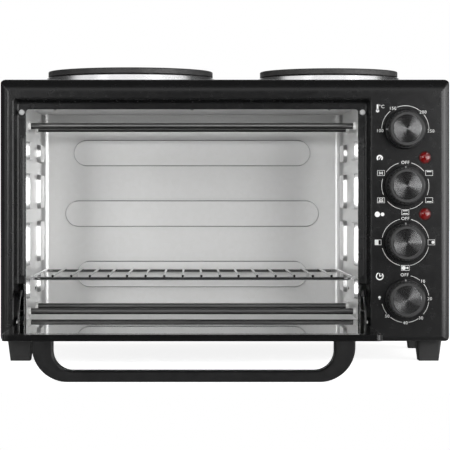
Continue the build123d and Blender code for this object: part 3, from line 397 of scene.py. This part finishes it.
dials = ("thermostat", "mode", "hotplate", "timer")
finishes = {
    black_paint: ["front_panel"],
    black_enamel: ["outer_cover", "door_left_stile", "door_right_stile", "door_top_rail", "door_bottom_rail"],
    black_plastic: ["door_handle", "cord_gland"],
    knob_plastic: [dial + "_knob" for dial in dials],
    foot_plastic: ["feet"],
    side_sheet: ["cavity_left_wall", "cavity_right_wall"],
    back_sheet: ["cavity_back_wall"],
    ceiling_sheet: ["cavity_ceiling"],
    floor_sheet: ["cavity_floor"],
    zinc_sheet: ["rear_panel", "base_plate", "control_bay_shield",
                 "large_hotplate_clamp", "small_hotplate_clamp"],
    small_steel: ["rear_screws", "handle_screws", "hinge_pins", "hotplate_nuts"],
    dark_steel: ["left_door_arm", "right_door_arm", "left_hinge_bracket", "right_hinge_bracket"],
    chrome: ["large_trim_ring", "small_trim_ring"],
    wire_chrome: ["wire_rack"],
    brass: [dial + "_shaft" for dial in dials],
    ceramic: ["heater_insulators"],
    silicone: ["door_bumpers"],
    switch_plastic: ["thermostat", "mode_switch", "hotplate_switch", "timer",
                     "lamp_holders", "terminal_block"],
    sheath: ["upper_front_heater", "upper_rear_heater", "lower_front_heater", "lower_rear_heater"],
    glass: ["door_glass"],
    lens: ["lamp_lenses"],
    cap_metal: [dial + "_knob_cap" for dial in dials],
    cast_iron("large_cast_iron", "large_hotplate"): ["large_hotplate"],
    cast_iron("small_cast_iron", "small_hotplate"): ["small_hotplate"],
}
for finish, names in finishes.items():
    for name in names:
        slots = nodes[name].data.materials
        if slots:
            for place in range(len(slots)):
                slots[place] = finish
        else:
            slots.append(finish)

# Small turned and cut pieces
sharp_edge = math.radians(30)


def lathe(drawing, profile, origin, axis, steps):
    """A turned surface: the profile gives radius and place along the axis, from one end to the other."""
    axis = Vector(axis).normalized()
    across = axis.orthogonal().normalized()
    beyond = axis.cross(across)
    rings = []
    for radius, reach in profile:
        middle = Vector(origin) + axis * reach
        ring = []
        for step in range(steps if radius else 1):
            turn = 2 * math.pi * step / steps
            out = across * math.cos(turn) + beyond * math.sin(turn)
            ring.append(drawing.verts.new(middle + radius * out))
        rings.append(ring)
    for first, second in zip(rings, rings[1:]):
        for step in range(steps):
            after = (step + 1) % steps
            corners = [first[step % len(first)], first[after % len(first)]]
            corners += [second[after % len(second)], second[step % len(second)]]
            drawing.faces.new(list(dict.fromkeys(corners)))


def dome(radius, base, height, steps):
    """The profile of a shallow dome that stands on a circle of this radius."""
    ball = (radius * radius + height * height) / (2 * height)
    half = math.asin(radius / ball)
    turns = [half * (1 - step / steps) for step in range(steps + 1)]
    profile = [(ball * math.sin(turn), base + height - ball + ball * math.cos(turn)) for turn in turns]
    profile[-1] = (0, base + height)
    return profile


def wall(drawing, first, second):
    """Four-sided faces between two closed rows of corners."""
    for step in range(len(first)):
        after = (step + 1) % len(first)
        drawing.faces.new((first[step], first[after], second[after], second[step]))


def piece(name, drawing, material, body):
    """A piece from a drawing, riding on a body."""
    bmesh.ops.recalc_face_normals(drawing, faces=drawing.faces)
    mesh = bpy.data.meshes.new(name)
    drawing.to_mesh(mesh)
    drawing.free()
    mesh.materials.append(material)
    mesh.shade_smooth()
    mesh.set_sharp_from_angle(angle=sharp_edge)
    made = bpy.data.objects.new(name, mesh)
    bpy.context.scene.collection.objects.link(made)
    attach(made, body)
    return made


def head_faces(node, axis, tolerance=0.05 * mm, widest_head=9 * mm):
    """The middles of the separate faces at the far end of a group along an axis."""
    axis = Vector(axis)
    corners = [nodes[node].matrix_world @ corner.co for corner in nodes[node].data.vertices]
    far = max(corner.dot(axis) for corner in corners)
    groups = []
    for corner in corners:
        if corner.dot(axis) < far - tolerance:
            continue
        near = [group for group in groups if (group[0] - corner).length < widest_head]
        if near:
            near[0].append(corner)
        else:
            groups.append([corner])
    middles = []
    for group in groups:
        low = [min(corner[way] for corner in group) for way in range(3)]
        high = [max(corner[way] for corner in group) for way in range(3)]
        middles.append((Vector(low) + Vector(high)) / 2)
    return middles


# Screws with a cross recess; the recess is given in shares of the head
recess_reach = 0.56
recess_half_width = 0.13
recess_taper = 0.75
recess_depth = 0.6
screw_tip = 1 * mm
screw_steps = 36
shank_steps = 24
turn_between_screws = 0.7
rear_screw = {"radius": 3.5 * mm, "height": 2 * mm, "edge": 0.6 * mm,
              "shank_radius": 1.7 * mm, "shank_length": 8 * mm}
handle_screw = {"radius": 3.6 * mm, "height": 1.4 * mm, "edge": 0.3 * mm,
                "shank_radius": 2 * mm, "shank_length": 18 * mm}


def cross_screw(drawing, face, axis, turn, radius, height, edge, shank_radius, shank_length):
    """A screw with a cross recess in its head; the face is the middle of the head's far side."""
    axis = Vector(axis)
    side = axis.orthogonal().normalized()
    other = axis.cross(side)
    across = side * math.cos(turn) + other * math.sin(turn)
    beyond = axis.cross(across)

    def spot(u, v, drop):
        return drawing.verts.new(face + across * u + beyond * v - axis * drop)

    def circle(size, drop):
        turns = [2 * math.pi * step / screw_steps for step in range(screw_steps)]
        return [spot(size * math.cos(angle), size * math.sin(angle), drop) for angle in turns]

    arm, half = recess_reach * radius, recess_half_width * radius
    cross = [(arm, -half), (arm, half), (half, half), (half, arm), (-half, arm), (-half, half),
             (-arm, half), (-arm, -half), (-half, -half), (-half, -arm), (half, -arm), (half, -half)]
    rim = circle(radius - edge, 0)
    brim = circle(radius, edge)
    under = circle(radius, height)
    mouth = [spot(u, v, 0) for u, v in cross]
    deep = [spot(recess_taper * u, recess_taper * v, recess_depth * height) for u, v in cross]
    flat = []
    for line in (rim, mouth):
        spokes = [corner.co - face for corner in line]
        flat.append([Vector((spoke.dot(across), spoke.dot(beyond), 0)) for spoke in spokes])
    loose = rim + mouth
    for triangle in tessellate_polygon(flat):
        drawing.faces.new([loose[place] for place in triangle])
    wall(drawing, rim, brim)
    wall(drawing, brim, under)
    wall(drawing, mouth, deep)
    drawing.faces.new(deep)
    drawing.faces.new(under)
    end = height + shank_length
    shank = [(shank_radius, height), (shank_radius, end - screw_tip), (0.5 * shank_radius, end), (0, end)]
    lathe(drawing, shank, face, -axis, shank_steps)


def screws(name, node, axis, body, size):
    drawing = bmesh.new()
    for count, face in enumerate(head_faces(node, axis)):
        cross_screw(drawing, face, axis, turn_between_screws * count, **size)
    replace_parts(piece(name, drawing, small_steel, body), node)


screws("rear_cross_screws", "rear_screws", (0, 1, 0), "oven", rear_screw)
screws("handle_cross_screws", "handle_screws", (0, 0, 1), "door", handle_screw)

# Red lenses: a lip, a dome and the barrel behind the panel
lens_radius = 6.5 * mm
lip_edge_radius = 6.3 * mm
lip_inner_radius = 5.9 * mm
lip_side = 0.9 * mm
lip_height = 1.2 * mm
lens_dome_radius = 5.6 * mm
lens_dome_base = 1.0 * mm
lens_dome_height = 2.1 * mm
barrel_radius = 5.3 * mm
barrel_bore = 4 * mm
barrel_length = 11 * mm
bore_end = 1 * mm

lens_low, lens_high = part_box("lamp_lenses")
lens_x = (lens_low[0] + lens_high[0]) / 2
lens_profile = [(0, -bore_end), (barrel_bore, -bore_end), (barrel_bore, -barrel_length)]
lens_profile += [(barrel_radius, -barrel_length), (barrel_radius, 0)]
lens_profile += [(lens_radius, 0), (lens_radius, lip_side)]
lens_profile += [(lip_edge_radius, lip_height), (lip_inner_radius, lip_height)]
lens_profile += dome(lens_dome_radius, lens_dome_base, lens_dome_height, steps=12)
drawing = bmesh.new()
for height in (lens_low[2] + lens_radius, lens_high[2] - lens_radius):
    lathe(drawing, lens_profile, (lens_x, panel_face, height), (0, -1, 0), steps=48)
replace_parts(piece("domed_lamp_lenses", drawing, lens, "oven"), "lamp_lenses")

# Rivets that hold the cavity sheets together; each side rivet has a depth behind the panel and a height
rivet_radius = 2 * mm
rivet_edge = 0.1 * mm
rivet_height = 0.7 * mm
ceiling_rivet_pitch = 154.5 * mm
ceiling_rivet_depth = 114 * mm
side_rivets = ((25.5 * mm, 230 * mm), (25.5 * mm, 225.6 * mm), (157 * mm, 73 * mm))

rivet_profile = [(rivet_radius, 0)] + dome(rivet_radius, rivet_edge, rivet_height, steps=6)
drawing = bmesh.new()
for x in (cavity_x - ceiling_rivet_pitch, cavity_x, cavity_x + ceiling_rivet_pitch):
    lathe(drawing, rivet_profile, (x, panel_face + ceiling_rivet_depth, cavity_low[2]), (0, 0, -1), steps=20)
for inward, wall_x in ((1, cavity_low[0]), (-1, cavity_high[0])):
    for depth, height in side_rivets:
        lathe(drawing, rivet_profile, (wall_x, panel_face + depth, height), (inward, 0, 0), steps=20)
piece("cavity_rivets", drawing, dark_steel, "oven")

# Pale inlays in the notches of the knob skirts
skirt_thickness = 4 * mm
inlay_half_width = 0.68 * mm
inlay_inner_radius = 19.1 * mm
inlay_face_radius = 20.15 * mm
inlay_outer_radius = 21.05 * mm
inlay_face_drop = 0.1 * mm
inlay_floor_drop = 0.98 * mm
inlay_section = [(inlay_inner_radius, inlay_floor_drop), (inlay_inner_radius, inlay_face_drop),
                 (inlay_face_radius, inlay_face_drop), (inlay_outer_radius, inlay_floor_drop)]


def pointer(dial, turn):
    """A pale inlay at this angle in degrees, from the right and towards the top."""
    low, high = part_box(dial + "_knob")
    skirt_face = Vector(((low[0] + high[0]) / 2, high[1] - skirt_thickness, (low[2] + high[2]) / 2))
    out = Vector((math.cos(math.radians(turn)), 0, math.sin(math.radians(turn))))
    wide = Vector((-out.z, 0, out.x)) * inlay_half_width
    drawing = bmesh.new()
    ends = []
    for way in (-1, 1):
        end = skirt_face + wide * way
        spots = [end + out * radius + Vector((0, drop, 0)) for radius, drop in inlay_section]
        ends.append([drawing.verts.new(spot) for spot in spots])
    drawing.faces.new(ends[0])
    drawing.faces.new(ends[1])
    wall(drawing, *ends)
    piece(dial + "_pointer", drawing, pointer_ink, dial + "_dial")


for dial, turn in (("thermostat", 180), ("mode", 90), ("hotplate", 90), ("timer", 90)):
    pointer(dial, turn)

# Printed marks on the control strip; their places are millimetres to the right of and above a dial's centre
ink_height = 0.08 * mm
line_width = 0.46 * mm
outline_width = 0.38 * mm
scale_radius = 25.3 * mm
letter_size = 4.7 * mm
letter_spacing = 1.12
symbol_width = 7.6 * mm
symbol_height = 5.4 * mm
symbol_column = -27.4


def dial_centre(dial):
    low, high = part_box(dial + "_knob_cap")
    return (low[0] + high[0]) / 2, (low[2] + high[2]) / 2


def beside(centre, right, up):
    """The place this many millimetres to the right of and above a centre."""
    return centre[0] + right * mm, centre[1] + up * mm


def stroke(points, closed=False, width=line_width):
    """Four-sided pieces of a line of this width through the points."""
    count = len(points)
    sides = []
    for place, (x, z) in enumerate(points):
        before = points[place - 1] if place or closed else points[place]
        after = points[(place + 1) % count] if place < count - 1 or closed else points[place]
        first = Vector((x - before[0], z - before[1])).normalized()
        second = Vector((after[0] - x, after[1] - z)).normalized()
        along = (first + second).normalized()
        across = Vector((-along.y, along.x))
        straight = second if second.length else first
        reach = across * (width / 2 / max(0.5, across.dot(Vector((-straight.y, straight.x)))))
        sides.append(((x + reach.x, z + reach.y), (x - reach.x, z - reach.y)))
    pieces = []
    for place in range(count if closed else count - 1):
        left, right = sides[place]
        next_left, next_right = sides[(place + 1) % count]
        pieces.append([left, right, next_right, next_left])
    return pieces


def disc(centre, radius, sides=28):
    turns = [2 * math.pi * step / sides for step in range(sides)]
    return [[(centre[0] + radius * math.cos(turn), centre[1] + radius * math.sin(turn)) for turn in turns]]


def arc(centre, radius, start, end, step_angle=4):
    """Points on a circle between two angles in degrees, clockwise from the top."""
    steps = max(2, int(abs(end - start) / step_angle))
    angles = [math.radians(start + (end - start) * step / steps) for step in range(steps + 1)]
    return [(centre[0] + radius * math.sin(turn), centre[1] + radius * math.cos(turn)) for turn in angles]


def printed(name, outlines):
    """A thin layer of white ink on the front panel."""
    drawing = bmesh.new()
    for outline in outlines:
        low = [drawing.verts.new((x, panel_face, z)) for x, z in outline]
        high = [drawing.verts.new((x, panel_face - ink_height, z)) for x, z in outline]
        drawing.faces.new(high)
        drawing.faces.new(reversed(low))
        wall(drawing, low, high)
    piece(name, drawing, white_ink, "oven")


def lettered(name, words, place, size=letter_size):
    """Plain letters or numbers in white ink, centred on a place."""
    curve = bpy.data.curves.new(name, "FONT")
    curve.body = words
    curve.size = size
    curve.align_x = "CENTER"
    curve.align_y = "CENTER"
    curve.extrude = ink_height / 2
    curve.space_character = letter_spacing
    curve.resolution_u = 4
    curve.materials.append(white_ink)
    mark = bpy.data.objects.new(name, curve)
    mark.location = (place[0], panel_face - ink_height / 2, place[1])
    mark.rotation_euler = (math.radians(90), 0, 0)
    bpy.context.scene.collection.objects.link(mark)
    bpy.context.view_layer.update()
    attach(mark, "oven")


def scale_arcs(centre, spans):
    """Parts of the circle round a dial, each from one angle to another."""
    pieces = []
    for start, end in spans:
        pieces += stroke(arc(centre, scale_radius, start, end))
    return pieces


def box_corners(middle, width, height):
    half, tall = width / 2, height / 2
    x, z = middle
    return [(x - half, z - tall), (x + half, z - tall), (x + half, z + tall), (x - half, z + tall)]


def box_outline(middle, width):
    return stroke(box_corners(middle, width, symbol_height), closed=True, width=outline_width)


def heat_bar(middle, up):
    return stroke([beside(middle, -2.6, up), beside(middle, 2.6, up)], width=0.8 * mm)


def fan(middle):
    """A fan of four blades."""
    hub = 0.8 * mm
    blade = 2.3 * mm
    blade_width = 1.1 * mm
    outlines = disc(middle, hub, sides=12)
    for turn in (30, 150, 210, 330):
        angle = math.radians(turn)
        tip = (middle[0] + blade * math.cos(angle), middle[1] + blade * math.sin(angle))
        outlines += stroke([middle, tip], width=blade_width)
    return outlines


# Thermostat: temperatures in degrees
thermostat = dial_centre("thermostat")
degrees = (("100", -27.2, -1.6), ("150", -13.5, 22.3), ("200", 18.9, 18.3), ("250", 27.4, -1.9))
printed("thermostat_scale", scale_arcs(thermostat, ((-88, -39), (-21, 37), (52, 90))))
for number, right, up in degrees:
    lettered("thermostat_" + number, number, beside(thermostat, right, up))
bulb = beside(thermostat, -29.7, 19.9)
stem_top = beside(thermostat, -29.7, 26.6)
printed("thermometer_symbol", disc(bulb, 1.8 * mm) + stroke([bulb, stem_top], width=1.9 * mm))
lettered("degrees", "°C", beside(thermostat, -25.3, 24.2), 5.2 * mm)

# Mode switch: heat from above, below, both, and with the fan
mode = dial_centre("mode")
from_above = beside(mode, 25.5, 13.7)
from_below = beside(mode, 25.5, -15.4)
from_both = beside(mode, 0, -28.2)
below_and_fan = beside(mode, -26, -15.4)
fan_alone = beside(mode, -26, 13.7)
marks = scale_arcs(mode, ((-54, -17), (15, 52), (73, 113), (132, 169), (191, 229), (248, 287)))
for place in (from_above, from_below, from_both, below_and_fan, fan_alone):
    marks += box_outline(place, symbol_width)
for place in (from_above, from_both):
    marks += heat_bar(place, 1.5)
for place in (from_below, from_both, below_and_fan):
    marks += heat_bar(place, -1.5)
marks += fan(beside(below_and_fan, 0, 0.6))
marks += fan(fan_alone)
printed("mode_scale", marks)
lettered("mode_off", "OFF", beside(mode, 0, 24.9))
flame = beside(mode, symbol_column, 29.8)
ring = stroke(arc(flame, 2.6 * mm, -140, 140), width=1.6 * mm)
ring += stroke([beside(flame, -0.6, -1.6), beside(flame, 0.9, 1.2)], width=0.8 * mm)
printed("heat_symbol", ring)

# Hot plate switch: right plate, both, left plate
hotplate = dial_centre("hotplate")
right_plate = beside(hotplate, 27.9, 0)
left_plate = beside(hotplate, -29.2, 0)
both_plates = beside(hotplate, 0, -27.4)
marks = scale_arcs(hotplate, ((14, 80), (101, 168), (193, 256), (282, 347)))
marks += box_outline(right_plate, 7.2 * mm)
marks += box_outline(left_plate, 6.6 * mm)
marks += box_outline(both_plates, 8.4 * mm)
marks += disc(beside(right_plate, 1.7, 0), 1.6 * mm)
marks += [box_corners(beside(left_plate, -1.3, 0), 3.6 * mm, 5.2 * mm)]
marks += disc(beside(both_plates, -1.7, 0), 2.2 * mm)
marks += disc(beside(both_plates, 2.2, 0), 1.2 * mm)
printed("hotplate_scale", marks)
lettered("hotplate_off", "OFF", beside(hotplate, 0, 25.4))
pair = disc(beside(hotplate, -29.9, 30), 2.9 * mm) + disc(beside(hotplate, -24.4, 30), 2 * mm)
printed("hotplate_symbol", pair)

# Timer: minutes
timer = dial_centre("timer")
minutes = (("10", 18.7, 18.8), ("20", 26.2, 0), ("30", 16.6, -20.6), ("40", 0, -25.8), ("50", -19.4, -18.6))
marks = scale_arcs(timer, ((13, 38), (51, 82), (97, 130), (146, 172), (188, 219), (232, 258)))
lamp = beside(timer, -27.6, 1.6)
marks += disc(lamp, 1.4 * mm)
marks += stroke([beside(lamp, -0.7, -2.1), beside(lamp, 0.7, -2.1)])
printed("timer_scale", marks)
for number, right, up in minutes:
    lettered("timer_" + number, number, beside(timer, right, up))
lettered("timer_off", "OFF", beside(timer, -0.8, 25.6))
clock = beside(timer, symbol_column, 24.2)
clock_face = stroke(arc(clock, 3.6 * mm, 40, 340), width=1.1 * mm)
clock_face += stroke([beside(clock, 0, 3.4), clock, beside(clock, 2.2, 0.6)], width=0.9 * mm)
printed("clock_symbol", clock_face)

# Floor that keeps the object's shadow and runs white into the background
floor_front = -0.36
floor_reach = 8
floor_glow = 0.86
floor_corners = [(-floor_reach, floor_front, 0), (floor_reach, floor_front, 0),
                 (floor_reach, floor_reach, 0), (-floor_reach, floor_reach, 0)]

floor_mesh = bpy.data.meshes.new("floor")
floor_mesh.from_pydata(floor_corners, [], [(0, 1, 2, 3)])
floor = bpy.data.objects.new("floor", floor_mesh)
bpy.context.scene.collection.objects.link(floor)
floor_material = bpy.data.materials.new("floor")
floor_material.use_nodes = True
floor_tree = floor_material.node_tree
floor_shader = floor_tree.nodes["Principled BSDF"]
floor_shader.inputs["Base Color"].default_value = (0.8, 0.8, 0.8, 1)
floor_shader.inputs["Roughness"].default_value = 0.9
floor_shader.inputs["Specular IOR Level"].default_value = 0.0
floor_shader.inputs["Emission Color"].default_value = (1, 1, 1, 1)
ray = floor_tree.nodes.new("ShaderNodeLightPath")
glow = floor_tree.nodes.new("ShaderNodeMath")
glow.operation = "MULTIPLY"
glow.inputs[1].default_value = floor_glow
floor_tree.links.new(ray.outputs["Is Camera Ray"], glow.inputs[0])
floor_tree.links.new(glow.outputs[0], floor_shader.inputs["Emission Strength"])
floor.data.materials.append(floor_material)

# World: white behind the object, a dim studio in front of it and soft grey light all round
studio_fill = 0.4
studio_gloss = 0.06
right_wall_light = 4.0
upper_band_light = 1.0
backdrop_start, backdrop_end = 0.86, 0.94
no_limit = 2.0

world = bpy.data.worlds.new("studio")
bpy.context.scene.world = world
world.use_nodes = True
sky = world.node_tree
ray = sky.nodes.new("ShaderNodeLightPath")
direction = sky.nodes.new("ShaderNodeTexCoord")
parts = sky.nodes.new("ShaderNodeSeparateXYZ")
sky.links.new(direction.outputs["Generated"], parts.inputs["Vector"])


def sky_feed(socket, source):
    """A socket takes a number or another node's value."""
    if isinstance(source, float):
        socket.default_value = source
    else:
        sky.links.new(source, socket)


def sky_value(operation, first, second):
    made = sky.nodes.new("ShaderNodeMath")
    made.operation = operation
    sky_feed(made.inputs[0], first)
    sky_feed(made.inputs[1], second)
    return made.outputs["Value"]


def sky_product(first, second):
    return sky_value("MULTIPLY", first, second)


def sky_larger(first, second):
    return sky_value("MAXIMUM", first, second)


def sky_range(value, start, end, low, high):
    """The value from start to end as low to high."""
    made = sky.nodes.new("ShaderNodeMapRange")
    for socket, number in (("From Min", start), ("From Max", end), ("To Min", low), ("To Max", high)):
        made.inputs[socket].default_value = number
    sky.links.new(value, made.inputs["Value"])
    return made.outputs["Result"]


def sky_choice(chooser, first, second):
    """The first value where the chooser is 0, the second where it is 1."""
    made = sky.nodes.new("ShaderNodeMix")
    sky.links.new(chooser, made.inputs["Factor"])
    sky_feed(made.inputs["A"], first)
    sky_feed(made.inputs["B"], second)
    return made.outputs["Result"]


def sky_window(axis, low, high, soft):
    """1 where the direction's part along this axis is between low and high, 0 outside."""
    above = sky_range(parts.outputs[axis], low - soft, low, 0.0, 1.0)
    below = sky_range(parts.outputs[axis], high, high + soft, 1.0, 0.0)
    return sky_product(above, below)


# What shines in glossy surfaces: a wall of light at the right, with a gap where the trim rings mirror it,
# and a dimmer band at both sides
low_wall = sky_product(sky_window("Y", -no_limit, 0.25, soft=0.15), sky_window("Z", -0.4, 0.12, soft=0.06))
wall_heights = sky_larger(sky_window("Z", -0.85, 0.3, soft=0.06), sky_window("Z", 0.72, 0.85, soft=0.05))
high_wall = sky_product(sky_window("Y", -no_limit, -0.1, soft=0.1), wall_heights)
right_wall = sky_product(sky_larger(low_wall, high_wall), sky_window("X", 0.36, no_limit, soft=0.05))
right_wall = sky_product(right_wall, right_wall_light)
band = sky_product(sky_window("Y", -no_limit, -0.15, soft=0.25), sky_window("Z", 0.2, 0.58, soft=0.06))
aside = sky_larger(sky_window("X", 0.5, no_limit, soft=0.1), sky_window("X", -no_limit, -0.5, soft=0.1))
band = sky_product(sky_product(band, aside), upper_band_light)
backdrop = sky_range(parts.outputs["Y"], backdrop_start, backdrop_end, studio_gloss, 1.0)
mirrored = sky_larger(backdrop, sky_larger(right_wall, band))
shown = sky_larger(ray.outputs["Is Camera Ray"], ray.outputs["Is Transmission Ray"])
strength = sky_choice(ray.outputs["Is Glossy Ray"], studio_fill, mirrored)
strength = sky_choice(shown, strength, 1.0)
sky.links.new(strength, sky.nodes["Background"].inputs["Strength"])
sky.nodes["Background"].inputs["Color"].default_value = (1, 1, 1, 1)

# Lamps: soft boxes round the oven, and strips at the cavity's front edges that light it from inside
oven_middle = (0, 0, 0.16)
strip_y = panel_face + 24 * mm
strip_target_y = panel_face + 260 * mm
strip_width = 12 * mm
top_strip_z = cavity_low[2] - 8 * mm
top_strip_target_z = 150 * mm
side_strip_reach = 180 * mm
side_strip_z = 160 * mm


def softbox(name, place, target, width, height, watts):
    light = bpy.data.lights.new(name, "AREA")
    light.shape = "RECTANGLE"
    light.size = width
    light.size_y = height
    light.energy = watts
    lamp = bpy.data.objects.new(name, light)
    lamp.location = place
    lamp.rotation_euler = (Vector(target) - Vector(place)).to_track_quat("-Z", "Y").to_euler()
    bpy.context.scene.collection.objects.link(lamp)


softbox("right_softbox", (1.75, -1.25, 0.28), oven_middle, width=0.9, height=1.5, watts=17)
softbox("left_softbox", (-1.75, -1.25, 0.28), oven_middle, width=0.45, height=1.5, watts=4.5)
softbox("front_right_softbox", (1.0, -2.4, 0.55), oven_middle, width=0.6, height=1.0, watts=11)
softbox("front_left_softbox", (-1.0, -2.4, 0.55), oven_middle, width=0.6, height=1.0, watts=16)
softbox("cavity_softbox", (cavity_x, strip_y, top_strip_z), (cavity_x, strip_target_y, top_strip_target_z),
        width=0.34, height=strip_width, watts=0.045)
for x, watts in ((cavity_x - side_strip_reach, 0.018), (cavity_x + side_strip_reach, 0.034)):
    softbox("cavity_edge_softbox", (x, strip_y, side_strip_z), (x, strip_target_y, side_strip_z),
            width=strip_width, height=0.18, watts=watts)
softbox("top_softbox", (0, -2.2, 1.6), (0, 0.1, 0.25), width=5.0, height=1.0, watts=19)
